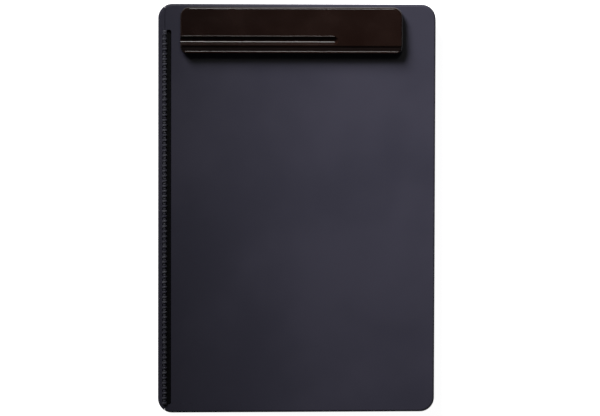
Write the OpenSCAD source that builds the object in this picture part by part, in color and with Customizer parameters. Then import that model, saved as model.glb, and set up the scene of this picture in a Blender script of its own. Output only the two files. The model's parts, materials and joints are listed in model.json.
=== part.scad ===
// Storage clipboard box lying flat: a tray, a lid board on a comb hinge, and a low sprung clip.
// Origin under the middle of the box on the surface it stands on, +Y towards the clip end, +Z up.

/* [Case] */
// Overall width, from the hinge margin to the opening edge
case_w = 235; // [215:1:260]
// Overall length, from the clip end to the foot end
case_l = 346; // [335:1:380]
// Plan radius of the four corners
corner_r = 12; // [10:0.5:20]
// Rounding of the long outer edges
edge_r = 2; // [1:0.1:2.2]
// Height of the rubber feet below the tray
foot_lift = 1; // [0.6:0.1:3]
// Thickness of the tray floor
floor_t = 2; // [1.6:0.1:3]
// Clear height of the storage space, from the tray floor to the board
store_h = 13.8; // [12:0.2:40]
// Thickness of the board that is written on
board_t = 2.2; // [1.8:0.1:3.5]
// Thickness of the tray walls
wall_t = 2.2; // [1.8:0.1:3]
// How far the tray walls stand in from the rim of the lid
tray_inset = 1.2; // [0.8:0.1:2]

/* [Lid rim] */
// Height of the skirt under the board
skirt_h = 1.1; // [0.8:0.1:3]
// Thickness of the skirt
skirt_t = 2.1; // [1.6:0.1:2.6]
// Gap between the closed lid and the tray
seat_gap = 0.3; // [0.2:0.05:0.5]
// Thickness of the lip that stands inside the skirt
lip_t = 1; // [0.8:0.1:1.4]
// Length of each closing bead on that lip
bead_l = 24; // [10:1:40]
// How far a closing bead stands out of the lip
bead_h = 0.2; // [0.1:0.05:0.2]
// Radius of the finger scoop in the tray wall
scoop_r = 60; // [40:1:90]
// Depth of the finger scoop
scoop_d = 1.2; // [0.6:0.1:1.4]

/* [Comb hinge] */
// Distance of the hinge axis from the left edge
hinge_in = 5.6; // [5:0.1:8]
// Height of the hinge axis above the board
axis_rise = 0.25; // [0.2:0.05:0.6]
// Distance from the hinge axis to the edge of the board beside the trough
trough_w = 5.4; // [5:0.1:8]
// Plan radius of the ends of the trough
trough_r = 1.6; // [0.5:0.1:3]
// Depth of the trough floor below the underside of the board
trough_drop = 1.6; // [0.6:0.1:2]
// Outer radius of the tray knuckles
knuckle_r = 2.05; // [1.9:0.05:2.2]
// Outer radius of the lid knuckles
lid_knuckle_r = 1.4; // [1.4:0.05:1.7]
// Distance from one tray knuckle to the next
knuckle_pitch = 4.28; // [4:0.01:8]
// Length of a tray knuckle
knuckle_l = 2.2; // [1.6:0.05:2.4]
// Bevel on the ends of the knuckles
knuckle_bevel = 0.35; // [0.2:0.05:0.5]
// Gap between neighbouring knuckles
knuckle_gap = 0.15; // [0.1:0.05:0.3]
// Number of tray knuckles
knuckle_n = 74; // [40:1:76]
// Radius of the hinge rod
rod_r = 0.8; // [0.6:0.05:0.9]
// Running clearance round the rod and round the clip axle
pin_clear = 0.05; // [0.02:0.01:0.1]
// Length of the head of the hinge rod
rod_head_l = 1.9; // [1:0.1:3]
// Clearance between a knuckle and the shell that turns past it
sweep_gap = 0.25; // [0.2:0.05:0.4]
// Distance from the foot end of the case to the first tray knuckle
hinge_start = 7.2; // [6:0.1:12]
// Seam between the lid and the margin beyond the knuckles
seam = 0.3; // [0.2:0.05:0.5]

/* [Clip] */
// Length of the clip along the board
clip_w = 187.8; // [170:0.1:192]
// Distance from the left edge of the case to the clip
clip_in = 18.3; // [18:0.1:24]
// Depth of the clip from its back edge to its front lip
clip_d = 38.8; // [36:0.1:44]
// Distance from the clip end of the case to the back of the clip
clip_back = 2.6; // [2:0.1:8]
// Plan radius of the back corners of the clip
clip_back_r = 8; // [4:0.5:12]
// Plan radius of the front corners of the clip
clip_front_r = 5.5; // [1:0.5:6]
// Wall of the moulded clip
clip_skin = 1.5; // [1.2:0.1:1.8]
// Radius of the rounded back edge, about the axle
nose_r = 3.2; // [3:0.05:3.6]
// Rounding of the upper edge at the back and both ends of the clip
brow_r = 1.9; // [1:0.1:3]
// Gap between the closed clip and the board
clip_gap = 0.3; // [0.2:0.05:0.5]
// Height of the front of the clip above the board
lip_h = 8.7; // [8.2:0.1:12]
// Radius of the clip axle
axle_r = 1.1; // [0.9:0.05:1.2]
// Thickness of the jaw wall behind the front lip
jaw_t = 2.4; // [2:0.1:3]

/* [Pen channel] */
// Radius of the half-round pen channel
channel_r = 3.4; // [3:0.1:3.8]
// Depth of the pen channel
channel_d = 2.4; // [1.8:0.1:2.5]
// Distance of the channel from the back edge of the clip
channel_u = 28.2; // [26:0.1:28.4]
// Length of the channel from the left end of the clip
channel_l = 133.4; // [80:0.1:150]
// Radius of the bead along the back of the channel
bead_r = 0.75; // [0.5:0.05:1]

/* [Clip mechanism] */
// Distance of each spring from the middle of the clip
spring_x = 45; // [36:1:60]
// Distance between the two ears beside a spring
ear_span = 19; // [16:1:22]
// Thickness of the steel bracket and of the strip under the board
steel_t = 1; // [0.8:0.1:1.2]
// Width of the bracket and of the strip under the board
bracket_d = 8; // [7:0.5:10]
// Wire radius of the springs
wire_r = 0.35; // [0.3:0.05:0.35]
// Turns of each spring
spring_turns = 5; // [3:1:7]
// Distance from one turn to the next
spring_pitch = 1.15; // [1.12:0.01:1.3]
// Radius of the rivet shanks
rivet_r = 1.55; // [1.2:0.05:1.8]
// Radius of the rivet heads
rivet_head_r = 2.8; // [2.4:0.1:3]

/* [Feet] */
// Radius of each foot
foot_r = 6; // [4:0.5:8]
// Depth of the recess that a foot sits in
foot_recess = 0.6; // [0.4:0.1:1]
// Distance of the feet from the sides of the case
foot_in = 22; // [18:1:40]

/* [Hidden] */

board_col = [0.20, 0.20, 0.25];
hinge_col = [0.24, 0.24, 0.29];
clip_col = [0.09, 0.075, 0.075];
steel_col = [0.66, 0.67, 0.69];
rubber_col = [0.10, 0.10, 0.10];
round_n = 8;
reach = 2 * case_l;

// Heights
floor_z = foot_lift + floor_t;
under_z = floor_z + store_h;
top_z = under_z + board_t;
skirt_z = under_z - skirt_h;
rim_z = skirt_z - seat_gap;
lip_z = under_z - seat_gap;

// Tray and lid outlines
half_w = case_w / 2;
half_l = case_l / 2;
wall_x = half_w - tray_inset;
wall_y = half_l - tray_inset;
lip_out = skirt_t + seat_gap;
scoop_z = floor_z + 4;

// Hinge
axis_x = -half_w + hinge_in;
axis_z = top_z + axis_rise;
hinge_l = (knuckle_n - 1) * knuckle_pitch + knuckle_l;
hinge_y0 = -half_l + hinge_start;
hinge_y1 = hinge_y0 + hinge_l;
rod_gap = 0.15;
head_r = knuckle_r - pin_clear;
slot_y0 = hinge_y0 - sweep_gap;
slot_y1 = hinge_y1 + rod_gap + rod_head_l + sweep_gap;
turn_r = knuckle_r + sweep_gap;
web_t = 1.8;
web_h = 6.5;
web_slope = 0.25;
notch_z = -2.6;
neck_x = 0.3;
neck_top = -0.3;
neck_foot = 0.3;
leaf_lap = 3.6;
leaf_end = 0.5;
leaf_t = 1.2;
rod_end_cover = 0.7;
store_x0 = axis_x - knuckle_r;

// Clip, in a section where u runs forward from the back edge and v up from the board
clip_x0 = -half_w + clip_in;
clip_x1 = clip_x0 + clip_w;
clip_mid = (clip_x0 + clip_x1) / 2;
clip_y = half_l - clip_back;
axle_u = nose_r;
axle_v = nose_r + clip_gap;
crown_v = axle_v + nose_r;
crown_end = clip_d - 6.6;
crown_top = lip_h - 0.25;
fall_u = clip_d - 4.6;
fall_v = crown_top - 0.35;
valley_u = clip_d - 2.7;
valley_v = lip_h - 1.05;
lip_u = clip_d - 0.75;
lip_v = lip_h - 0.15;
lip_r = 0.6;
jaw_u = clip_d - 2.8;
jaw_in = jaw_u - jaw_t;
lip_under = lip_h - 3;
hollow_u = axle_u + 1.2;
ear_xs = [for (s = [-1, 1], o = [-1, 1]) clip_mid + s * spring_x + o * ear_span / 2];
ear_gap = 0.3;
press_gap = 0.02;
rib_t = 3;
rib_v = 1.4;
rib_off = ear_span / 2 + 3;
grip_t = 1.8;
grip_top = 1.6;
grip_key = 0.8;
channel_v = crown_top - channel_d + channel_r;
channel_end = clip_x0 + channel_l - channel_r;
bead_u = channel_u - channel_r - 0.3;
bead_sink = 0.2;
end_lap = 0.3;

// Clip mechanism
bracket_u = axle_u + nose_r + 0.4;
room_r = norm([bracket_u - axle_u, axle_v - steel_t]) - sweep_gap;
room_u = axle_u + sqrt(room_r * room_r - nose_r * nose_r);
bracket_mid = bracket_u + bracket_d / 2;
bracket_x = spring_x + 22;
coil_r = axle_r + wire_r + 0.1;
coil_sides = 6;
coil_steps = 12;
arm_l = 14.2;
arm_drop = 6;
arm_angle = 90 - arm_drop;
seat_u = axle_u + 13;
seat_t = 1.6;
seat_v = axle_v + coil_r * sin(arm_angle) - arm_l * cos(arm_angle) - wire_r - 0.05;
rivet_xs = [-(spring_x + 17), -18, 18, spring_x + 17];

// Points of an arc about a centre, from angle a to angle b
function arc(c, r, a, b, n = round_n) =
  [for (i = [0:n]) c + r * [cos(a + (b - a) * i / n), sin(a + (b - a) * i / n)]];

// Outline of a rectangle with its own radius at each corner, starting at the right back corner
function round_rect(x0, x1, y0, y1, r) = concat(
  arc([x1 - r[0], y1 - r[0]], r[0], 0, 90),
  arc([x0 + r[1], y1 - r[1]], r[1], 90, 180),
  arc([x0 + r[2], y0 + r[2]], r[2], 180, 270),
  arc([x1 - r[3], y0 + r[3]], r[3], 270, 360));

// Section of a slab edge with its upper corner rounded
function edge_section(r, h, e) = concat([[0, 0], [r, 0]], arc([r - e, h - e], e, 0, 90, 6), [[0, h]]);

// Slab with round plan corners and one rounded upper edge
module rounded_slab(w, l, r, h, e) {
  translate([-w / 2 + r, -l / 2 + r, 0]) cube([w - 2 * r, l - 2 * r, h]);
  for (k = [0:3]) {
    side = k % 2 == 0 ? [w, l] : [l, w];
    rotate(90 * k) translate([side[0] / 2 - r, side[1] / 2 - r, 0]) {
      rotate([90, 0, 0]) linear_extrude(side[1] - 2 * r) polygon(edge_section(r, h, e));
      rotate_extrude(angle = 90, $fn = 96) polygon(edge_section(r, h, e));
    }
  }
}

// A section drawn in x and z about the hinge axis, drawn out along y
module along_hinge(y0, y1) {
  translate([axis_x, y1, axis_z]) rotate([90, 0, 0]) linear_extrude(y1 - y0) children();
}

// A section drawn in u and v, drawn out along the clip
module along_clip(x0, x1) {
  translate([x1, clip_y, top_z]) rotate([90, 0, -90]) linear_extrude(x1 - x0) children();
}

// A round bar along the clip at u and v
module clip_bar(x0, x1, u, v, r) {
  translate([x0, clip_y - u, top_z + v]) rotate([0, 90, 0]) cylinder(h = x1 - x0, r = r, $fn = 48);
}

function knuckle_y(k) = hinge_y0 + k * knuckle_pitch;

// Outer surface of the closed case above the seam
module rim_slab() {
  translate([0, 0, skirt_z]) rounded_slab(case_w, case_l, corner_r, top_z - skirt_z, edge_r);
}

// Storage space in plan, as the inner face of the tray walls
module store_outline() {
  r = corner_r - tray_inset - wall_t;
  polygon(round_rect(store_x0, wall_x - wall_t, -wall_y + wall_t, wall_y - wall_t, [r, r, r, r]));
}

module tray_shell() {
  r = corner_r - tray_inset;
  difference() {
    translate([0, 0, rim_z]) mirror([0, 0, 1])
      rounded_slab(2 * wall_x, 2 * wall_y, r, rim_z - foot_lift, edge_r);
    translate([0, 0, floor_z]) linear_extrude(reach) store_outline();
    for (x = [-1, 1], y = [-1, 1])
      translate([x * (half_w - foot_in), y * (half_l - foot_in), 0])
        cylinder(h = foot_lift + foot_recess, r = foot_r, $fn = 64);
    translate([wall_x + scoop_r - scoop_d, 0, scoop_z])
      cylinder(h = reach, r = scoop_r, $fn = 128);
  }
}

// Narrow top margin outside the hinge, level with the board
module tray_margin() {
  difference() {
    intersection() {
      rim_slab();
      translate([-reach, -reach, 0]) cube([reach + axis_x - seam / 2, 2 * reach, reach]);
    }
    translate([store_x0, slot_y0, 0]) cube([reach, slot_y1 - slot_y0, reach]);
  }
  translate([-wall_x, -half_l + corner_r, rim_z - 1])
    cube([store_x0 + wall_x, case_l - 2 * corner_r, skirt_z - rim_z + 2]);
}

// Lip that keeps the closed lid in line, with the closing beads
module tray_lip() {
  r = corner_r - lip_out;
  y = half_l - lip_out;
  x = half_w - lip_out;
  difference() {
    translate([0, 0, rim_z - 1]) linear_extrude(lip_z - rim_z + 1)
      polygon(round_rect(-half_w, x, -y, y, [r, r, r, r]));
    translate([0, 0, 0]) linear_extrude(reach)
      polygon(round_rect(-case_w, x - lip_t, -y + lip_t, y - lip_t, (r - lip_t) * [1, 1, 1, 1]));
    translate([-reach, -reach, 0]) cube([reach + axis_x + hinge_in, 2 * reach, reach]);
  }
  for (side = [-1, 1]) translate([x, side * half_l / 2 + bead_l / 2, (rim_z + lip_z) / 2])
    rotate([90, 0, 0]) linear_extrude(bead_l) polygon([[-0.2, -0.4], [bead_h, 0], [-0.2, 0.4]]);
}

module base_tray() {
  color(board_col) {
    tray_shell();
    tray_margin();
    tray_lip();
  }
}

module lid_board() {
  r = corner_r - skirt_t;
  color(board_col) difference() {
    rim_slab();
    translate([-reach, -reach, 0]) cube([reach + axis_x + seam / 2, 2 * reach, reach]);
    linear_extrude(reach) polygon(round_rect(axis_x - turn_r, axis_x + trough_w, slot_y0, slot_y1,
      [trough_r, seam, seam, trough_r]));
    translate([0, 0, under_z - reach]) linear_extrude(reach)
      polygon(round_rect(axis_x - 1, half_w - skirt_t, -half_l + skirt_t, half_l - skirt_t, [r, 0.5, 0.5, r]));
    for (x = rivet_xs) translate([clip_mid + x, clip_y - bracket_mid, 0])
      cylinder(h = reach, r = rivet_r + pin_clear, $fn = 32);
  }
}

// One barrel along the hinge with bevelled ends
module knuckle(y0, l, r) {
  e = knuckle_bevel;
  translate([axis_x, y0 + l, axis_z]) rotate([90, 0, 0]) rotate_extrude($fn = 48)
    polygon([[0, 0], [r - e, 0], [r, e], [r, l - e], [r - e, l], [0, l]]);
}

// Tray side of the comb: knuckles on a web that is welded to the tray wall
module hinge_strip_base() {
  web_top = -axis_rise;
  web = [[-knuckle_r, web_top - web_h], [web_t - knuckle_r, web_top - web_h],
    [web_t - knuckle_r, 0], [web_slope - knuckle_r, 0], [-knuckle_r, web_top]];
  color(hinge_col) difference() {
    union() {
      along_hinge(hinge_y0, hinge_y1) polygon(web);
      for (k = [0:knuckle_n - 1]) knuckle(knuckle_y(k), knuckle_l, knuckle_r);
    }
    for (k = [0:knuckle_n - 2]) translate([axis_x - 2 * knuckle_r, knuckle_y(k) + knuckle_l, axis_z + notch_z])
      cube([4 * knuckle_r, knuckle_pitch - knuckle_l, 2 * knuckle_r + 1]);
    // Room for the round corner of the tray wall
    translate([axis_x - reach / 2, hinge_y0 - 1, 0])
      cube([reach, corner_r - hinge_start + 1, skirt_z]);
    translate([axis_x, hinge_y0 + rod_end_cover, axis_z]) rotate([-90, 0, 0])
      cylinder(h = reach, r = rod_r + pin_clear, $fn = 32);
  }
}

// Lid side of the comb: smaller knuckles on a neck, with a leaf that floors the trough
module hinge_strip_lid() {
  under = under_z - axis_z;
  bed = under - trough_drop;
  side_x = trough_w + leaf_t;
  leaf = [[neck_x, bed], [neck_x, bed - leaf_t], [side_x, bed - leaf_t], [side_x, under - leaf_t],
    [trough_w + leaf_lap, under - leaf_t], [trough_w + leaf_lap, under], [trough_w, under], [trough_w, bed]];
  neck_w = lid_knuckle_r + neck_foot;
  neck = [[neck_x, neck_top], [neck_x, bed - leaf_t / 2], [neck_w, bed - leaf_t / 2], [neck_w, bed],
    [lid_knuckle_r - pin_clear, neck_top]];
  l = knuckle_pitch - knuckle_l - 2 * knuckle_gap;
  color(hinge_col) difference() {
    union() {
      along_hinge(slot_y0 - leaf_end, slot_y1 + leaf_end) polygon(leaf);
      for (k = [0:knuckle_n - 2]) {
        y = knuckle_y(k) + knuckle_l + knuckle_gap;
        knuckle(y, l, lid_knuckle_r);
        along_hinge(y, y + l) polygon(neck);
      }
    }
    translate([axis_x, hinge_y0, axis_z]) rotate([-90, 0, 0])
      cylinder(h = reach, r = rod_r + pin_clear, $fn = 32);
  }
}

module hinge_rod() {
  y0 = hinge_y0 + rod_end_cover + rod_gap;
  e = 2 * knuckle_bevel;
  color(hinge_col) translate([axis_x, y0, axis_z]) rotate([-90, 0, 0]) {
    cylinder(h = hinge_y1 + rod_gap + e - y0, r = rod_r, $fn = 32);
    translate([0, 0, hinge_y1 + rod_gap - y0]) rotate_extrude($fn = 48)
      polygon(concat([[0, 0], [head_r, 0]], arc([head_r - e, rod_head_l - e], e, 0, 90, 4), [[0, rod_head_l]]));
  }
}

// Height of the convex top of the clip at u
function crown(u) = crown_v + (crown_top - crown_v) * sin(90 * (u - axle_u) / (crown_end - axle_u));

crown_us = [for (i = [0:5]) clip_back_r + (crown_end - clip_back_r) * i / 5];

// Outer section of the clip: round nose, convex crown, valley, upturned lip and jaw wall
function cover_section() = concat(
  arc([axle_u, axle_v], nose_r, 300, 180),
  arc([brow_r, crown_v - brow_r], brow_r, 180, 90),
  [for (u = crown_us) [u, crown(u)]],
  [[fall_u, fall_v], [valley_u, valley_v], [lip_u, lip_v]],
  arc([clip_d - lip_r, lip_h - lip_r], lip_r, 90, -60, 5),
  [[jaw_u, lip_under], [jaw_u, clip_gap], [bracket_u, clip_gap]]);

// Section of the hollow under the clip in front of the nose, open towards the board
hollow_section = concat([[hollow_u, -1]],
  [for (i = [0:8]) let (u = hollow_u + (jaw_in - hollow_u) * i / 8) [u, min(crown(u), lip_h - 1) - clip_skin]],
  [[jaw_in, -1]]);

// Spans between the ribs of the clip, from end wall to end wall
rib_xs = [for (s = [-1, 1], o = [-1, 1]) clip_mid + s * spring_x + o * rib_off];
span_x = concat([clip_x0 + clip_skin], [for (x = rib_xs) each [x - rib_t / 2, x + rib_t / 2]],
  [clip_x1 - clip_skin]);

module channel_cut(r, end) {
  translate([clip_x0 - 1, clip_y - channel_u, top_z + channel_v]) rotate([0, 90, 0])
    rotate_extrude($fn = 64) polygon(concat([[0, 0], [r, 0]], arc([0, end - clip_x0 + 1], r, 0, 90, 6)));
}

// Plan outline of the clip, drawn in by a wall, as an upright block
module clip_plan(wall) {
  back = clip_back_r - wall;
  front = max(clip_front_r - wall, clip_skin);
  translate([0, 0, top_z - 1]) linear_extrude(2 * lip_h) polygon(round_rect(clip_x0 + wall, clip_x1 - wall,
    clip_y - clip_d, clip_y - wall, [back, back, front, front]));
}

// Piece of the rounded upper edge at one end of the clip, from one height to the next
module end_edge(u0, v0, u1, v1) {
  r = clip_back_r;
  rise = atan((v1 - v0) / (u1 - u0));
  translate([0, -u0, v0]) rotate([90 - rise, 0, 0]) translate([0, 0, -end_lap])
    linear_extrude(norm([u1 - u0, v1 - v0]) + 2 * end_lap)
      polygon(concat([[-end_lap, -2 * lip_h], [r, -2 * lip_h]], arc([r - brow_r, -brow_r], brow_r, 0, 90, 6),
        [[-end_lap, 0]]));
}

// Block whose upper edge is rounded at the back corners and along both ends, following the crown
module clip_envelope() {
  r = clip_back_r;
  edge = concat([for (u = crown_us) [u, crown(u)]], [[clip_d, lip_h + end_lap]]);
  translate([clip_x0 + r, clip_y - clip_d, top_z - 1]) cube([clip_w - 2 * r, clip_d, 2 * lip_h]);
  for (side = [0, 1]) translate([clip_mid, clip_y, top_z]) mirror([side, 0, 0])
    translate([clip_w / 2 - r, 0, 0]) {
      translate([0, -r, crown(r)]) rotate_extrude(angle = 90, $fn = 96)
        polygon(concat([[0, -2 * lip_h], [r, -2 * lip_h]], arc([r - brow_r, -brow_r], brow_r, 0, 90, 6), [[0, 0]]));
      for (i = [0:len(edge) - 2]) end_edge(edge[i][0], edge[i][1], edge[i + 1][0], edge[i + 1][1]);
    }
}

module clip_cover() {
  color(clip_col) difference() {
    intersection() {
      union() {
        along_clip(clip_x0, clip_x1) polygon(cover_section());
        clip_bar(clip_x0, channel_end, bead_u, crown(bead_u) - bead_sink, bead_r);
      }
      clip_envelope();
      clip_plan(0);
    }
    for (i = [0:2:len(span_x) - 2]) {
      intersection() {
        difference() {
          along_clip(span_x[i], span_x[i + 1]) polygon(hollow_section);
          channel_cut(channel_r + clip_skin, channel_end);
        }
        clip_plan(clip_skin);
      }
      clip_bar(max(span_x[i], clip_x0 + clip_back_r), min(span_x[i + 1], clip_x1 - clip_back_r),
        axle_u, axle_v, nose_r - 1);
    }
    channel_cut(channel_r, channel_end);
    // Slots for the ears, open below and behind
    for (x = ear_xs) along_clip(x - steel_t / 2 - ear_gap, x + steel_t / 2 + ear_gap)
      polygon([[-1, -1], [-1, axle_v], [hollow_u + 0.1, axle_v], [hollow_u + 0.1, -1]]);
    // Room over the bracket under the ribs, so that their corners turn past its edge
    along_clip(clip_x0 + clip_skin, clip_x1 - clip_skin)
      polygon([[room_u, -1], [room_u, rib_v], [jaw_in, rib_v], [jaw_in, -1]]);
    // Bore for the axle through the ribs
    clip_bar(rib_xs[0] - rib_t, rib_xs[3] + rib_t, axle_u, axle_v, axle_r + pin_clear);
    // Seat of the rubber grip in the jaw
    along_clip(clip_x0 - 1, clip_x1 + 1) polygon(concat([[jaw_in - 0.1, -1], [jaw_u + 1, -1]],
      [[jaw_u + 1, grip_top], [jaw_in - 0.1, grip_top]]));
    along_clip(clip_x0 + 6, clip_x1 - 6) polygon(grip_key_section);
  }
  color(clip_col) for (s = [-1, 1]) spring_seat(clip_mid + s * spring_x);
}

// Bar across the clip that a spring arm presses down on
module spring_seat(x) {
  w = rib_off - rib_t / 2 + 0.2;
  along_clip(x - w, x + w) polygon([[seat_u, seat_v - seat_t], [seat_u + seat_t, seat_v - seat_t],
    [seat_u + seat_t, seat_v], [seat_u, seat_v]]);
}

grip_mid = (jaw_in + jaw_u) / 2;
grip_key_section = [[grip_mid - grip_key / 2, grip_top - 0.5], [grip_mid + grip_key / 2, grip_top - 0.5],
  [grip_mid + grip_key / 2, grip_top + 1], [grip_mid - grip_key / 2, grip_top + 1]];

// Rubber strip of the jaw, keyed into the wall above it
module jaw_grip() {
  color(rubber_col) {
    along_clip(clip_x0 + 4, clip_x1 - 4) polygon([[grip_mid - grip_t / 2, grip_top],
      [grip_mid - grip_t / 2, clip_gap + 0.4], [grip_mid - grip_t / 2 + 0.4, clip_gap],
      [grip_mid + grip_t / 2 - 0.4, clip_gap], [grip_mid + grip_t / 2, clip_gap + 0.4],
      [grip_mid + grip_t / 2, grip_top]]);
    along_clip(clip_x0 + 6, clip_x1 - 6) polygon(grip_key_section);
  }
}

// One ear of the bracket, round about the axle
module ear(x) {
  along_clip(x - steel_t / 2, x + steel_t / 2) {
    translate([axle_u, axle_v]) circle(r = nose_r - 1.2, $fn = 48);
    polygon([[axle_u - 0.8, 0], [axle_u - 1.2, axle_v - 1.3], [axle_u + 1.7, axle_v + 1],
      [bracket_u + 2.4, steel_t], [bracket_u + 2.4, 0]]);
  }
}

module clip_bracket() {
  color(steel_col) difference() {
    union() {
      translate([clip_mid - bracket_x, clip_y - bracket_u - bracket_d, top_z])
        cube([2 * bracket_x, bracket_d, steel_t]);
      for (x = ear_xs) ear(x);
    }
    clip_bar(clip_mid - bracket_x, clip_mid + bracket_x, axle_u, axle_v, axle_r + press_gap);
    for (x = rivet_xs) translate([clip_mid + x, clip_y - bracket_mid, 0])
      cylinder(h = reach, r = rivet_r + pin_clear, $fn = 32);
  }
}

module clip_axle() {
  half = spring_x + rib_off + rib_t / 2 + 1;
  color(steel_col) clip_bar(clip_mid - half, clip_mid + half, axle_u, axle_v, axle_r);
}

module clip_backing_strip() {
  color(steel_col) difference() {
    translate([clip_mid - bracket_x, clip_y - bracket_u - bracket_d, under_z - steel_t])
      cube([2 * bracket_x, bracket_d, steel_t]);
    for (x = rivet_xs) translate([clip_mid + x, clip_y - bracket_mid, 0])
      cylinder(h = reach, r = rivet_r + pin_clear, $fn = 32);
  }
}

module clip_rivets() {
  head_h = 0.8;
  tail_z = under_z - steel_t - head_h;
  shank = top_z + steel_t - tail_z;
  color(steel_col) for (x = rivet_xs) translate([clip_mid + x, clip_y - bracket_mid, tail_z]) {
    rotate_extrude($fn = 48) polygon([[0, 0], [rivet_head_r - 0.6, 0], [rivet_head_r - 0.3, head_h],
      [rivet_r, head_h], [rivet_r, shank], [rivet_head_r, shank], [rivet_head_r - 0.4, shank + 0.5],
      [rivet_head_r - 1.4, shank + head_h], [0, shank + head_h]]);
  }
}

// Centre and outward direction of the spring wire at each step: a helix, then one straight arm
coil_end = spring_turns * coil_steps;
function spring_path() = concat(
  [for (i = [0:coil_end]) let (a = arm_angle + 360 * (i - coil_end) / coil_steps)
    [[spring_pitch * i / coil_steps, coil_r * cos(a), coil_r * sin(a)], a]],
  [[[spring_pitch * spring_turns, coil_r * cos(arm_angle) + arm_l * sin(arm_angle),
    coil_r * sin(arm_angle) - arm_l * cos(arm_angle)], arm_angle]]);

// Torsion spring round the axle: u runs forward, so the coil winds over the top towards the front
module spring(x) {
  path = spring_path();
  n = len(path);
  points = [for (p = path, j = [0:coil_sides - 1]) let (b = 360 * j / coil_sides)
    p[0] + wire_r * [sin(b), cos(b) * cos(p[1]), cos(b) * sin(p[1])]];
  sides = [for (i = [0:n - 2], j = [0:coil_sides - 1]) let (k = (j + 1) % coil_sides)
    each [[i * coil_sides + j, (i + 1) * coil_sides + k, (i + 1) * coil_sides + j],
      [i * coil_sides + j, i * coil_sides + k, (i + 1) * coil_sides + k]]];
  ends = [[for (j = [1:coil_sides]) coil_sides - j], [for (j = [0:coil_sides - 1]) (n - 1) * coil_sides + j]];
  half = spring_pitch * spring_turns / 2;
  color(steel_col) translate([x - half, clip_y - axle_u, top_z + axle_v])
    mirror([0, 1, 0]) polyhedron(points, concat(sides, ends));
}

module clip_spring_left() {
  spring(clip_mid - spring_x);
}

module clip_spring_right() {
  spring(clip_mid + spring_x);
}

module rubber_feet() {
  color(rubber_col) for (x = [-1, 1], y = [-1, 1])
    translate([x * (half_w - foot_in), y * (half_l - foot_in), 0])
      rotate_extrude($fn = 64) polygon([[0, 0], [foot_r - 0.9, 0], [foot_r - 0.4, 0.4],
        [foot_r - pin_clear, foot_lift], [foot_r - pin_clear, foot_lift + foot_recess], [0, foot_lift + foot_recess]]);
}

base_tray();
lid_board();
hinge_strip_base();
hinge_strip_lid();
hinge_rod();
clip_cover();
clip_bracket();
clip_axle();
clip_spring_left();
clip_spring_right();
clip_rivets();
clip_backing_strip();
jaw_grip();
rubber_feet();
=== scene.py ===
"""Looks of a storage clipboard box: finishes, smooth surfaces, light and camera."""
import json
import math
import bmesh
import bpy
import numpy as np
from mathutils import Euler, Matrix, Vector

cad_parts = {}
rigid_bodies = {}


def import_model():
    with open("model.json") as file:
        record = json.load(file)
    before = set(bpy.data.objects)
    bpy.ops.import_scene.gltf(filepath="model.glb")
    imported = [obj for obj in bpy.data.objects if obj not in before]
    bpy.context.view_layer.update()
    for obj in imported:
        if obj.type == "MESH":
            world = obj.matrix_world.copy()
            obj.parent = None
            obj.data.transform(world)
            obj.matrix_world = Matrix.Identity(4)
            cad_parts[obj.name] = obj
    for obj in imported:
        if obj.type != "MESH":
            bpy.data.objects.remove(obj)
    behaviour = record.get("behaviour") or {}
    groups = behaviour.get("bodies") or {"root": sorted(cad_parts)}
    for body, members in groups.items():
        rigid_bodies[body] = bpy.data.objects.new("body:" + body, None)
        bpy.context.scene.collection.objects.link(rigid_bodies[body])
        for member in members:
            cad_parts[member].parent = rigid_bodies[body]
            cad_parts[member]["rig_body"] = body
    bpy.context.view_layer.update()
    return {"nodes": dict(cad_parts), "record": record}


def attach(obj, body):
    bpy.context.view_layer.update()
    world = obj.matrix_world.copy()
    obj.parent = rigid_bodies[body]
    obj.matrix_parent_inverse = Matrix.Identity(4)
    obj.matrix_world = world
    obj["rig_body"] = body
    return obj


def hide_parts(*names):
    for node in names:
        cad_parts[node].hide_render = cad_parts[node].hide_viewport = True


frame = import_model()
MM = 0.001

# Colours as linear red, green, blue
BOARD_DARK = (0.030, 0.029, 0.043)
BOARD_PALE = (0.040, 0.038, 0.055)
# Lighter grey of the comb: partly the plastic's own tone, partly painted glint standing in for highlights on
# the knuckles
HINGE_GREY_AND_GLINT = (0.068, 0.069, 0.080)
# Painted shade: near-black colour for the hinge trough, in place of the shade that falls in that recess
TROUGH_PAINTED_SHADE = (0.006, 0.006, 0.009)
CLIP_BLACK = (0.0076, 0.0031, 0.0021)
CLIP_WARM = (0.0116, 0.0056, 0.0042)
# Painted shade: near-black colour for the valley between channel and lip, in place of the shade that falls
# there
VALLEY_PAINTED_SHADE = (0.0015, 0.001, 0.001)
STEEL_GREY = (0.55, 0.56, 0.58)
STEEL_DULL = (0.36, 0.37, 0.39)
RUBBER_BLACK = (0.018, 0.018, 0.019)
RUBBER_DUSTY = (0.034, 0.034, 0.035)
ROOM_DIM = (0.018, 0.018, 0.020)
FLOOR_PALE = (0.8, 0.8, 0.8)

# Direction of the key lamp in degrees
KEY_AZIMUTH, KEY_ELEVATION = 33, 30.5
# Height of the net in its path in metres, and the share of the light that it lets through
NET_HEIGHT = 0.15
NET_LEFT, NET_RIGHT, NET_FRONT = 0.2, 0.95, 0.7


class Value:
    """A number that varies over a surface. Arithmetic on it adds Math nodes."""

    def __init__(self, maker, socket):
        self.maker = maker
        self.socket = socket

    def _math(self, operation, *numbers):
        inputs = dict(enumerate(numbers))
        return self.maker.node("ShaderNodeMath", {"operation": operation}, inputs)

    def __add__(self, other):
        return self._math("ADD", self, other)

    __radd__ = __add__

    def __sub__(self, other):
        return self._math("SUBTRACT", self, other)

    def __rsub__(self, other):
        return self._math("SUBTRACT", other, self)

    def __mul__(self, other):
        return self._math("MULTIPLY", self, other)

    def step(self, low, high):
        """0 at low and 1 at high, eased between them."""
        settings = {"interpolation_type": "SMOOTHSTEP"}
        inputs = {"Value": self, "From Min": low, "From Max": high}
        return self.maker.node("ShaderNodeMapRange", settings, inputs)


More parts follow.
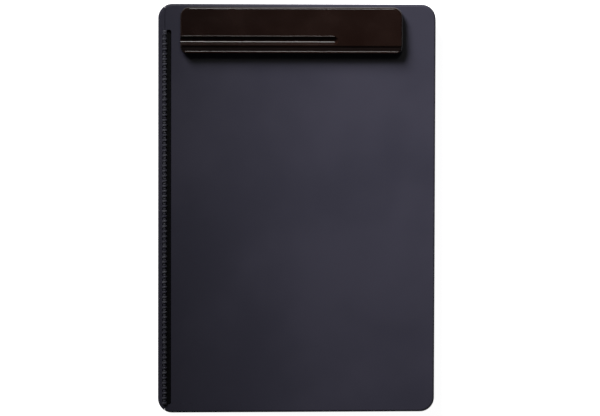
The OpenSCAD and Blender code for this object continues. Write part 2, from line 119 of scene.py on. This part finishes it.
class Finish:
    """One material: a Principled shader and the nodes that feed it."""

    def __init__(self, name, **constants):
        self.material = bpy.data.materials.new(name)
        self.material.use_nodes = True
        self.tree = self.material.node_tree
        self.shader = self.tree.nodes["Principled BSDF"]
        for socket, value in constants.items():
            self.shader.inputs[socket.replace("_", " ")].default_value = value
        self.place = self.node("ShaderNodeTexCoord", {}, {}, "Object")

    def node(self, kind, settings, inputs, output=0):
        """Adds a node, with its settings first and then the values or links of its sockets."""
        made = self.tree.nodes.new(kind)
        for key, value in settings.items():
            setattr(made, key, value)
        for key, value in inputs.items():
            self.feed(made.inputs[key], value)
        return Value(self, made.outputs[output])

    def feed(self, socket, value):
        if isinstance(value, Value):
            self.tree.links.new(value.socket, socket)
        else:
            socket.default_value = value

    def stretched(self, x, y, z):
        """The place on the piece, with each direction scaled."""
        inputs = {0: self.place, 1: (x, y, z)}
        return self.node("ShaderNodeVectorMath", {"operation": "MULTIPLY"}, inputs)

    def noise(self, grain, detail, roughness, at=None):
        """Soft noise from 0 to 1 whose patches are about one grain across, in metres."""
        inputs = {"Vector": at or self.place, "Scale": 1 / grain,
                  "Detail": detail, "Roughness": roughness}
        return self.node("ShaderNodeTexNoise", {}, inputs)

    def cells(self, grain):
        """Distance to the nearest of many scattered points, from 0 to about 1."""
        return self.node("ShaderNodeTexVoronoi", {}, {"Vector": self.place, "Scale": 1 / grain})

    def axis(self, name):
        """The place along X, Y or Z in metres."""
        return self.node("ShaderNodeSeparateXYZ", {}, {0: self.place}, name)

    def blend(self, mask, first, second):
        """The first colour where the mask is 0 and the second where it is 1."""
        made = self.tree.nodes.new("ShaderNodeMix")
        made.data_type = "RGBA"
        colours = [s for s in made.inputs if s.type == "RGBA"]
        self.feed(made.inputs[0], mask)
        for socket, colour in zip(colours, (first, second)):
            self.feed(socket, colour if isinstance(colour, Value) else (*colour, 1.0))
        return Value(self, [s for s in made.outputs if s.type == "RGBA"][0])

    def bump(self, height, depth):
        """A bump of that depth in metres where the height goes from 0 to 1."""
        return self.node("ShaderNodeBump", {}, {"Height": height, "Distance": depth})

    def wear(self, **links):
        """Feeds the shader's sockets and gives the material."""
        for socket, value in links.items():
            self.feed(self.shader.inputs[socket.replace("_", " ")], value)
        return self.material


def board_plastic():
    """Grained moulded sheet: charcoal with a violet cast, faintly cloudy, rubbed smoother in places."""
    f = Finish("charcoal_board_plastic", IOR=1.49)
    cloud = f.noise(0.11, 3.0, 0.55)
    fleck = f.noise(0.0011, 2.0, 0.7)
    tone = cloud.step(0.35, 0.68) * 0.75 + fleck * 0.25
    rub = f.noise(0.05, 4.0, 0.6, f.stretched(1.0, 0.35, 1.0)).step(0.52, 0.75)
    scratch = f.noise(0.0012, 1.0, 0.4, f.stretched(0.02, 1.0, 1.0)).step(0.69, 0.74) * rub
    grain = f.cells(0.00042).step(0.1, 0.75)
    fine = f.noise(0.0002, 2.0, 0.6)
    skin = f.bump(grain * 0.7 + fine * 0.3 - scratch * 0.6, 0.000022)
    return f.wear(Base_Color=f.blend(tone, BOARD_DARK, BOARD_PALE),
                  Roughness=0.47 - rub * 0.06 + fleck * 0.05 - scratch * 0.08, Normal=skin)


def hinge_plastic():
    """The same plastic drawn as a comb, smoother, lighter grey partly as its own tone and partly as painted
    glint on the knuckles, with painted shade down in the trough.
    """
    f = Finish("grey_hinge_plastic", IOR=1.49)
    tone = f.noise(0.004, 3.0, 0.6)
    fine = f.noise(0.0002, 2.0, 0.6)
    # Painted shade: the colour darkens below the board's surface, where the trough lies in shade
    trough_painted_shade = f.axis("Z").step(0.0178, 0.0160)
    # Random tone between board colour and a lighter grey that is partly painted glint
    grey_and_glint = f.blend(tone.step(0.3, 0.7), BOARD_DARK, HINGE_GREY_AND_GLINT)
    return f.wear(Base_Color=f.blend(trough_painted_shade, grey_and_glint, TROUGH_PAINTED_SHADE),
                  Roughness=0.3 + tone * 0.08 + trough_painted_shade * 0.3, Normal=f.bump(fine, 0.000012))


def clip_plastic():
    """Lacquered black plastic with a warm cast, fine wipe marks, hairlines and painted shade in the valley
    behind the lip.
    """
    f = Finish("black_clip_plastic", Specular_IOR_Level=0.1, Coat_Weight=1.0, Coat_Roughness=0.05)
    cloud = f.noise(0.03, 3.0, 0.55)
    wipe = f.noise(0.0016, 2.0, 0.5, f.stretched(0.06, 1.0, 1.0))
    hair = f.noise(0.0007, 1.0, 0.4, f.stretched(0.04, 1.0, 1.0)).step(0.72, 0.76)
    dust = f.noise(0.0005, 1.0, 0.5).step(0.74, 0.8)
    across = f.axis("Y")
    # Painted shade: a band across the clip, from 32.8 to 37.0 mm behind the back edge, darkened as if shaded
    valley_painted_shade = across.step(0.1334, 0.1340) * across.step(0.1376, 0.1370)
    tone = f.blend(cloud.step(0.35, 0.7) * 0.8 + dust * 0.2, CLIP_BLACK, CLIP_WARM)
    return f.wear(Base_Color=f.blend(valley_painted_shade * 0.7, tone, VALLEY_PAINTED_SHADE),
                  Roughness=0.28 + cloud * 0.06 + wipe * 0.05 + dust * 0.12,
                  Normal=f.bump(wipe * 0.4 - hair * 0.6, 0.0000016))


def steel():
    """Zinc-plated sheet and wire, brushed along its length with dull patches."""
    f = Finish("plated_steel", Metallic=1.0)
    brush = f.noise(0.0003, 2.0, 0.6, f.stretched(0.03, 1.0, 1.0))
    patch = f.noise(0.006, 3.0, 0.6)
    return f.wear(Base_Color=f.blend(patch.step(0.35, 0.7), STEEL_GREY, STEEL_DULL),
                  Roughness=0.24 + brush * 0.16 + patch * 0.08, Normal=f.bump(brush, 0.000004))


def rubber():
    """Soft black rubber with a fine dry bloom."""
    f = Finish("black_rubber", IOR=1.5)
    bloom = f.noise(0.0035, 3.0, 0.6)
    fine = f.noise(0.00022, 2.0, 0.7)
    return f.wear(Base_Color=f.blend(bloom.step(0.4, 0.7), RUBBER_BLACK, RUBBER_DUSTY),
                  Roughness=0.72 + bloom * 0.12, Normal=f.bump(fine, 0.00002))


FINISHES = {"board_plastic": board_plastic(), "hinge_plastic": hinge_plastic(),
            "clip_plastic": clip_plastic(), "steel": steel(), "rubber": rubber()}


def node_slots():
    """Each CAD node's material slot, from the record."""
    return {row["node"]: row["material_slot"] for row in frame["record"]["subparts"]}


# Hinge and clip in millimetres, as in the CAD
AXIS_X, AXIS_Z = -111.9, 19.25
COMB_Y, PITCH, KNUCKLES = -165.8, 4.28, 74
BORE = 0.85
# Radius, length and end rounding of a knuckle, and how far the lid's first lies along the comb
BASE_KNUCKLE = 2.05, 2.2, 0.8
LID_KNUCKLE = 1.4, 1.78, 0.55
LID_START = 2.35
TOP_Z = 19.0
CLIP_X = (-99.2, 88.6)
CLIP_Y = 170.4
CLIP_D = 38.8
BACK_R, FRONT_R, BROW_R = 8.0, 5.5, 1.9
CHANNEL_U, CHANNEL_V, CHANNEL_R, CHANNEL_X = 28.2, 9.45, 3.4, 30.8
BEAD_U, BEAD_R = 24.5, 0.75
FOOT_V = 0.3
# Round nose along the back edge, about the axle
NOSE_R, AXLE_V = 3.2, 3.5
# Crown: height and rise, fall to the valley, climb of the lip and its round front
CROWN_V, CROWN_RISE, CROWN_LENGTH, BACK_RISE = 6.7, 1.75, 29.0, 0.448
FALL_U, FALL_LENGTH, FALL = 32.2, 1.8, 0.85
VALLEY_U, VALLEY_LENGTH, VALLEY_RISE = 34.0, 3.2, 0.35
CLIMB_U, CLIMB_LENGTH, CLIMB = 37.2, 1.0, 0.6
LIP_U, LIP_R = 38.2, 0.6
# Softness of the joints at the bead and at the channel's rims
BEAD_SOFT, RIM_SOFT = 0.06, 0.12


class Shell:
    """The surfaces of one piece in millimetres: grids of points and loose triangles."""

    def __init__(self):
        self.points, self.faces, self.count = [], [], 0

    def add(self, grid, toward=None, closed=False):
        """Sheets given as (..., rows, columns, 3) points; closed joins the last row to the first.

        The faces are turned to look toward the given direction on average.
        """
        rows, columns = grid.shape[-3:-1]
        index = np.arange(grid.size // 3).reshape(-1, rows, columns)
        if closed:
            index = np.concatenate([index, index[:, :1]], axis=1)
        quads = np.stack([index[:, :-1, :-1], index[:, :-1, 1:], index[:, 1:, 1:], index[:, 1:, :-1]],
                         axis=-1)
        flat = grid.reshape(-1, 3)
        quads = quads.reshape(-1, 4)
        if toward is not None:
            corner = flat[quads]
            across = np.cross(corner[:, 2] - corner[:, 0], corner[:, 3] - corner[:, 1])
            if (across @ np.asarray(toward, float)).sum() < 0:
                quads = quads[:, ::-1]
        self.take(flat, quads)

    def take(self, points, faces):
        self.points.append(points)
        self.faces.append(faces + self.count)
        self.count += len(points)

    def object(self, name):
        """One mesh object, with points closer than 0.002 mm merged."""
        mesh = bpy.data.meshes.new(name)
        faces = sum((group.tolist() for group in self.faces), [])
        mesh.from_pydata((np.concatenate(self.points) * MM).tolist(), [], faces)
        work = bmesh.new()
        work.from_mesh(mesh)
        bmesh.ops.remove_doubles(work, verts=work.verts, dist=0.002 * MM)
        work.to_mesh(mesh)
        work.free()
        made = bpy.data.objects.new(name, mesh)
        bpy.context.scene.collection.objects.link(made)
        return made


def cad_triangles(node):
    """Points in millimetres and triangles of a CAD node."""
    mesh = frame["nodes"][node].data
    mesh.calc_loop_triangles()
    points = np.empty(len(mesh.vertices) * 3)
    mesh.vertices.foreach_get("co", points)
    triangles = np.empty(len(mesh.loop_triangles) * 3, int)
    mesh.loop_triangles.foreach_get("vertices", triangles)
    return points.reshape(-1, 3) / MM, triangles.reshape(-1, 3)


def soften(mesh, angle):
    """Gives each corner of a face the mean of the face normals at its point, weighted by area.

    Only faces that turn less than the angle from its own face count, so flat faces stay flat
    and rounded edges look round.
    """
    corners, faces = len(mesh.loops), len(mesh.polygons)
    vertex, size = np.empty(corners, int), np.empty(faces, int)
    area, normal = np.empty(faces), np.empty(faces * 3)
    mesh.loops.foreach_get("vertex_index", vertex)
    mesh.polygons.foreach_get("loop_total", size)
    mesh.polygons.foreach_get("area", area)
    mesh.polygons.foreach_get("normal", normal)
    normal = normal.reshape(-1, 3)
    order = np.argsort(vertex, kind="stable")
    face = np.repeat(np.arange(faces), size)[order]
    start = np.searchsorted(vertex[order], vertex[order], "left")
    reach = np.searchsorted(vertex[order], vertex[order], "right") - start
    mine = np.repeat(np.arange(corners), reach)
    other = np.arange(reach.sum()) + np.repeat(start - np.cumsum(reach) + reach, reach)
    near = np.einsum("ij,ij->i", normal[face[mine]], normal[face[other]]) > math.cos(math.radians(angle))
    pull = normal[face[other]] * (area[face[other]] * near)[:, None]
    total = np.stack([np.bincount(mine, pull[:, k], corners) for k in range(3)], axis=1)
    total /= np.maximum(np.linalg.norm(total, axis=1), 1e-30)[:, None]
    result = np.empty_like(total)
    result[order] = total
    mesh.shade_smooth()
    mesh.normals_split_custom_set(result.tolist())


def finish_piece(piece, node, slot):
    """Gives a piece its material and its body, and hides the CAD node that it stands for."""
    soften(piece.data, 35)
    piece.data.materials.clear()
    piece.data.materials.append(FINISHES[slot])
    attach(piece, frame["nodes"][node]["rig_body"])
    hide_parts(node)


def plain_piece(node):
    """The CAD shape itself, shaded smooth over its rounded edges."""
    shell = Shell()
    shell.take(*cad_triangles(node))
    return shell.object(node + "_surface")


def barrel_profile(radius, length, rounding, steps=8):
    """Radius and place along the axis of a barrel with rounded ends and a bore, as a closed loop.

    The ends follow (radius - r + r cos a, r - r sin a) and its mirror image, with r the rounding.
    """
    a = np.linspace(math.pi / 2, 0, steps)
    out = radius - rounding + rounding * np.cos(a)
    near = rounding - rounding * np.sin(a)
    return np.concatenate([[[BORE, 0.0]], np.stack([out, near], 1),
                           np.stack([out[::-1], length - near[::-1]], 1), [[BORE, length]]])


def barrels(profile, places, sides=40):
    """Points of a profile turned about the hinge axis at each place along it.

    x = axis + radius cos t, z = axis + radius sin t, y = place + distance, for t once round.
    """
    t = np.linspace(2 * math.pi, 0, sides + 1)
    places = np.asarray(places, float)[:, None, None]
    radius, along = profile[None, :, None, 0], profile[None, :, None, 1]
    grid = np.broadcast_arrays(AXIS_X + radius * np.cos(t), places + along + 0 * t,
                               AXIS_Z + radius * np.sin(t))
    return np.stack(grid, axis=-1)


def comb_piece(node, knuckle, first, count):
    """One side of the comb: the CAD web or neck with rounded barrels in place of its bevelled ones."""
    radius, length, rounding = knuckle
    points, triangles = cad_triangles(node)
    away = np.hypot(points[:, 0] - AXIS_X, points[:, 2] - AXIS_Z)
    shell = Shell()
    shell.take(points, triangles[(away[triangles] > radius + 0.004).any(axis=1)])
    places = first + PITCH * np.arange(count)
    shell.add(barrels(barrel_profile(radius, length, rounding), places), closed=True)
    return shell.object(node + "_surface")


def drop(distance):
    """How far the rounded upper edge lies below the top, at a distance in from the outline.

    r - sqrt(r r - i i), with r the rounding and i = r - distance, held between 0 and r.
    """
    inside = np.clip(BROW_R - distance, 0, BROW_R)
    return BROW_R - np.sqrt(BROW_R * BROW_R - inside * inside)


def front_edge(u):
    """How far the round front corners bring the ends of the clip in, at u from the back."""
    over = np.clip(u - CLIP_D + FRONT_R, 0, FRONT_R)
    return FRONT_R - np.sqrt(FRONT_R * FRONT_R - over * over)


def crown(u):
    """Height of the clip's top: convex crown, valley and upturned lip with a round front.

    Quarter of a sine for the crown, less fall (3 f f - 2 f f f), plus a straight rise, plus
    climb times c to the power 1.5, and last a quarter of a circle, sqrt(r r - d d).
    """
    rise = CROWN_V + CROWN_RISE * np.sin(math.pi / 2 * np.clip((u - NOSE_R) / CROWN_LENGTH, 0, 1))
    back = CROWN_V + BACK_RISE * np.clip((u - BROW_R) / (BACK_R - BROW_R), 0, 1)
    fall = np.clip((u - FALL_U) / FALL_LENGTH, 0, 1)
    level = np.clip((u - VALLEY_U) / VALLEY_LENGTH, 0, 1)
    climb = np.clip((u - CLIMB_U) / CLIMB_LENGTH, 0, 1)
    height = np.where(u < BACK_R, back, rise) - FALL * fall * fall * (3 - 2 * fall)
    height = height + VALLEY_RISE * level + CLIMB * climb ** 1.5
    front = np.clip(u - LIP_U, 0, LIP_R)
    return height - LIP_R + np.sqrt(LIP_R * LIP_R - front * front)


def clip_top(x, u):
    """Height of the clip's upper skin over the board at x along it and u from its back edge.

    The top less the edge rounding, raised by the bead and cut by the channel: with soft
    minimum and maximum -k log(exp(-a / k) + exp(-b / k)) the channel's rims come out rounded.
    """
    middle, half = sum(CLIP_X) / 2, (CLIP_X[1] - CLIP_X[0]) / 2
    end = half - np.abs(x - middle)
    corner = BACK_R - np.hypot(np.clip(BACK_R - end, 0, None), np.clip(BACK_R - u, 0, None))
    inward = np.where(u < BACK_R, np.minimum(corner, u), end - front_edge(u))
    height = crown(u)
    bulge = np.clip(BEAD_R ** 2 - (u - BEAD_U) ** 2, 0, None)
    bead = np.where((bulge > 0) & (x < CHANNEL_X), crown(np.array(BEAD_U)) - 0.2 + np.sqrt(bulge), -9.0)
    height = BEAD_SOFT * np.logaddexp(height / BEAD_SOFT, bead / BEAD_SOFT) - drop(inward)
    room = CHANNEL_R ** 2 - (u - CHANNEL_U) ** 2 - np.clip(x - CHANNEL_X, 0, None) ** 2
    channel = np.where(room > 0, CHANNEL_V - np.sqrt(np.clip(room, 0, None)), 30.0)
    return -RIM_SOFT * np.logaddexp(-height / RIM_SOFT, -channel / RIM_SOFT)


def clip_points(x, u, v):
    """World points of places on the clip."""
    x, u, v = np.broadcast_arrays(x, u, v)
    return np.stack([x, CLIP_Y - u, TOP_Z + v], axis=-1)


def clip_piece(node):
    """The CAD clip with its upper skin and end walls drawn anew as fine smooth sheets."""
    points, triangles = cad_triangles(node)
    corner = points[triangles]
    normal = np.cross(corner[:, 1] - corner[:, 0], corner[:, 2] - corner[:, 0])
    normal /= np.maximum(np.linalg.norm(normal, axis=1), 1e-12)[:, None]
    centre = corner.mean(axis=1)
    x, u, v = centre[:, 0], CLIP_Y - centre[:, 1], centre[:, 2] - TOP_Z
    half = (CLIP_X[1] - CLIP_X[0]) / 2
    end = half - np.abs(x - sum(CLIP_X) / 2)
    skin = (normal[:, 2] > 0.02) & (clip_top(x, u) - v < 0.6)
    outline = np.minimum(end - front_edge(u), BACK_R - np.hypot(np.clip(BACK_R - end, 0, None),
                                                                np.clip(BACK_R - u, 0, None)))
    walls = (np.abs(normal[:, 2]) < 0.02) & (np.abs(normal[:, 0]) > 0.05) & (outline < 0.08)
    shell = Shell()
    shell.take(points, triangles[~(skin | walls)])

    a = np.linspace(0, math.pi / 2, 12)
    inset = np.concatenate([BROW_R * (1 - np.cos(a)), [2.6, 3.6, 5.0, 6.5, BACK_R]])
    ahead = np.concatenate([np.linspace(BACK_R, 23.4, 10), np.linspace(23.6, 32.0, 71),
                            np.linspace(32.3, 38.1, 24),
                            LIP_U + LIP_R * np.sin(np.linspace(0, math.pi / 2, 7))])
    along = np.concatenate([np.linspace(CLIP_X[0] + BACK_R, 29.5, 16),
                            [CHANNEL_X - 0.01, CHANNEL_X, CHANNEL_X + 0.01],
                            np.linspace(30.9, 34.4, 29), np.linspace(36, CLIP_X[1] - BACK_R, 8)])
    u = np.concatenate([inset, ahead[1:]])[:, None]
    shell.add(clip_points(along, u, clip_top(along, u)), (0, 0, 1))
    for side, edge in ((1, CLIP_X[0]), (-1, CLIP_X[1])):
        u = ahead[:, None]
        bring = front_edge(u)
        x = edge + side * (bring + inset * (BACK_R - bring) / BACK_R)
        shell.add(clip_points(x, u, clip_top(x, u)), (0, 0, 1))
        turn = np.linspace(0, math.pi / 2, 15)[:, None]
        x = edge + side * (BACK_R - (BACK_R - inset) * np.cos(turn))
        u = BACK_R - (BACK_R - inset) * np.sin(turn)
        shell.add(clip_points(x, u, clip_top(x, u)), (0, 0, 1))
        down = np.linspace(0, 1, 12)[:, None]
        x, u = edge + side * front_edge(ahead), ahead
        top = clip_top(x, u)
        foot = np.where(u > 36.0, np.minimum(top, 5.7 + (u - 36.0) * 0.75), FOOT_V)
        shell.add(clip_points(x, u, top + (foot - top) * down), (-side, 0, 0))
        x, u = edge + side * (BACK_R - BACK_R * np.cos(turn.T)), BACK_R - BACK_R * np.sin(turn.T)
        top = clip_top(x, u)
        v = top + (FOOT_V - top) * down
        under = np.clip(AXLE_V - v, 0, NOSE_R)
        nose = np.where(under > 0, NOSE_R + 0.01 - np.sqrt(np.clip(NOSE_R ** 2 - under * under, 0, None)), 0)
        shell.add(clip_points(x, np.maximum(u, nose), v), (-side, 1, 0))
    return shell.object(node + "_surface")


def spring_piece(node, middle):
    """Torsion spring: a wire swept round a coil and out along a straight arm.

    Centre line (pitch t, r cos a, r sin a) with a = 84 - 360 (turns - t) degrees, then straight
    ahead; wire point = centre + w (sin b, cos b cos a, cos b sin a).
    """
    turns, pitch, coil, wire, arm = 5, 1.15, 1.55, 0.35, 14.2
    t = np.linspace(0, turns, turns * 32 + 1)
    angle = np.radians(84 - 360 * (turns - t))
    line = np.stack([pitch * t, coil * np.cos(angle), coil * np.sin(angle)], axis=1)
    last = line[-1] + arm * np.array([0, math.sin(angle[-1]), -math.cos(angle[-1])])
    line, angle = np.concatenate([line, [last]]), np.append(angle, angle[-1])
    b = np.linspace(2 * math.pi, 0, 13)[:, None]
    ring = np.stack(np.broadcast_arrays(np.sin(b), np.cos(b) * np.cos(angle), np.cos(b) * np.sin(angle)),
                    axis=-1)
    wire_skin = line + wire * ring
    shell = Shell()
    for points in (wire_skin, np.stack([wire_skin[:, 0], 0 * wire_skin[:, 0] + line[0]]),
                   np.stack([0 * wire_skin[:, -1] + line[-1], wire_skin[:, -1]])):
        x = middle - pitch * turns / 2 + points[..., 0]
        shell.add(clip_points(x, NOSE_R + points[..., 1], AXLE_V + points[..., 2]))
    return shell.object(node + "_surface")


def all_pieces():
    """Every piece of the object, each in place of its CAD node."""
    for node, slot in sorted(node_slots().items()):
        if node == "hinge_strip_base":
            piece = comb_piece(node, BASE_KNUCKLE, COMB_Y, KNUCKLES)
        elif node == "hinge_strip_lid":
            piece = comb_piece(node, LID_KNUCKLE, COMB_Y + LID_START, KNUCKLES - 1)
        elif node == "clip_cover":
            piece = clip_piece(node)
        elif node.startswith("clip_spring"):
            piece = spring_piece(node, sum(CLIP_X) / 2 + (-45 if node.endswith("left") else 45))
        else:
            piece = plain_piece(node)
        finish_piece(piece, node, slot)


def camera():
    """Long lens looking straight down, a hair off square as the photograph is."""
    data = bpy.data.cameras.new("camera")
    data.lens = 213.196
    data.sensor_width = 36.0
    data.clip_end = 30.0
    made = bpy.data.objects.new("camera", data)
    made.location = (-0.20219, 0.15815, 3.017)
    made.rotation_euler = Euler((math.radians(-3.0106), math.radians(-3.8985), math.radians(0.1552)), "XYZ")
    bpy.context.scene.collection.objects.link(made)
    bpy.context.scene.camera = made


def lamp(name, azimuth, elevation, distance, width, height, power, aim=(0, 0, 0)):
    """A soft rectangular lamp. Azimuth is measured from +Y towards -X, in degrees."""
    data = bpy.data.lights.new(name, "AREA")
    data.shape = "RECTANGLE"
    data.size = width
    data.size_y = height
    data.energy = power
    made = bpy.data.objects.new(name, data)
    a, e = math.radians(azimuth), math.radians(elevation)
    away = Vector((-math.sin(a) * math.cos(e), math.cos(a) * math.cos(e), math.sin(e)))
    made.location = Vector(aim) + away * distance
    made.rotation_euler = away.to_track_quat("Z", "Y").to_euler()
    bpy.context.scene.collection.objects.link(made)
    return made


def lights():
    """A key that reflections don't show, and a strip at the back that makes highlights only."""
    key = lamp("key", KEY_AZIMUTH, KEY_ELEVATION, 3.2, 1.3, 1.3, 295.0)
    key.visible_glossy = False
    strip = lamp("back_strip", 0, 59, 2.0, 0.40, 0.26, 6.0, aim=(0.12, 0.15, 0.02))
    strip.visible_diffuse = False


def straight_view(tree):
    """1 for rays from the camera and on through clear pieces, 0 for all others."""
    path = tree.nodes.new("ShaderNodeLightPath")
    seen = tree.nodes.new("ShaderNodeMath")
    seen.operation = "MAXIMUM"
    tree.links.new(path.outputs["Is Camera Ray"], seen.inputs[0])
    tree.links.new(path.outputs["Is Transmission Ray"], seen.inputs[1])
    return seen.outputs[0]


def world():
    """White behind everything for the camera, and a dim room for the light."""
    made = bpy.data.worlds.new("studio")
    bpy.context.scene.world = made
    made.use_nodes = True
    tree = made.node_tree
    back = tree.nodes["Background"]
    mix = tree.nodes.new("ShaderNodeMix")
    mix.data_type = "RGBA"
    colours = [s for s in mix.inputs if s.type == "RGBA"]
    colours[0].default_value = (*ROOM_DIM, 1)
    colours[1].default_value = (1, 1, 1, 1)
    tree.links.new(straight_view(tree), mix.inputs[0])
    tree.links.new([s for s in mix.outputs if s.type == "RGBA"][0], back.inputs["Color"])


def floor():
    """Pale floor that looks white to the camera and still takes the object's shadow."""
    bpy.ops.mesh.primitive_plane_add(size=30)
    made = bpy.context.object
    made.name = "floor"
    material = bpy.data.materials.new("white_floor")
    material.use_nodes = True
    tree = material.node_tree
    shader = tree.nodes["Principled BSDF"]
    shader.inputs["Base Color"].default_value = (*FLOOR_PALE, 1)
    shader.inputs["Roughness"].default_value = 0.9
    shader.inputs["Specular IOR Level"].default_value = 0.0
    lit = tree.nodes.new("ShaderNodeEmission")
    lit.inputs["Strength"].default_value = 0.97
    both = tree.nodes.new("ShaderNodeAddShader")
    mix = tree.nodes.new("ShaderNodeMixShader")
    tree.links.new(shader.outputs[0], both.inputs[0])
    tree.links.new(lit.outputs[0], both.inputs[1])
    tree.links.new(straight_view(tree), mix.inputs[0])
    tree.links.new(shader.outputs[0], mix.inputs[1])
    tree.links.new(both.outputs[0], mix.inputs[2])
    tree.links.new(mix.outputs[0], tree.nodes["Material Output"].inputs["Surface"])
    made.data.materials.append(material)


def scrim():
    """Shading net in the key lamp's path, seen by no ray but the shadow rays.

    Its own coordinates are those of the writing surface that it shades. It lets NET_LEFT of the
    light through at the left and NET_RIGHT at the right, eased between them, and dims that to
    NET_FRONT of itself towards the front edge.
    """
    away = NET_HEIGHT / math.tan(math.radians(KEY_ELEVATION))
    turn = math.radians(KEY_AZIMUTH)
    place = (-away * math.sin(turn), away * math.cos(turn), NET_HEIGHT)
    bpy.ops.mesh.primitive_plane_add(size=1.6, location=place)
    made = bpy.context.object
    made.name = "scrim"
    for kind in ("camera", "diffuse", "glossy", "transmission", "volume_scatter"):
        setattr(made, "visible_" + kind, False)
    net = Finish("scrim_net")
    across = net.axis("X").step(-0.16, 0.10)
    along = net.axis("Y").step(-0.19, 0.0)
    through = (across * (NET_RIGHT - NET_LEFT) + NET_LEFT) * (along * (1 - NET_FRONT) + NET_FRONT)
    tree = net.tree
    clear = tree.nodes.new("ShaderNodeBsdfTransparent")
    solid = tree.nodes.new("ShaderNodeBsdfTransparent")
    solid.inputs["Color"].default_value = (0, 0, 0, 1)
    mix = tree.nodes.new("ShaderNodeMixShader")
    net.feed(mix.inputs[0], through)
    tree.links.new(solid.outputs[0], mix.inputs[1])
    tree.links.new(clear.outputs[0], mix.inputs[2])
    tree.links.new(mix.outputs[0], tree.nodes["Material Output"].inputs["Surface"])
    made.data.materials.append(net.material)


all_pieces()
camera()
lights()
world()
floor()
scrim()
bpy.context.scene.view_settings.view_transform = "Standard"
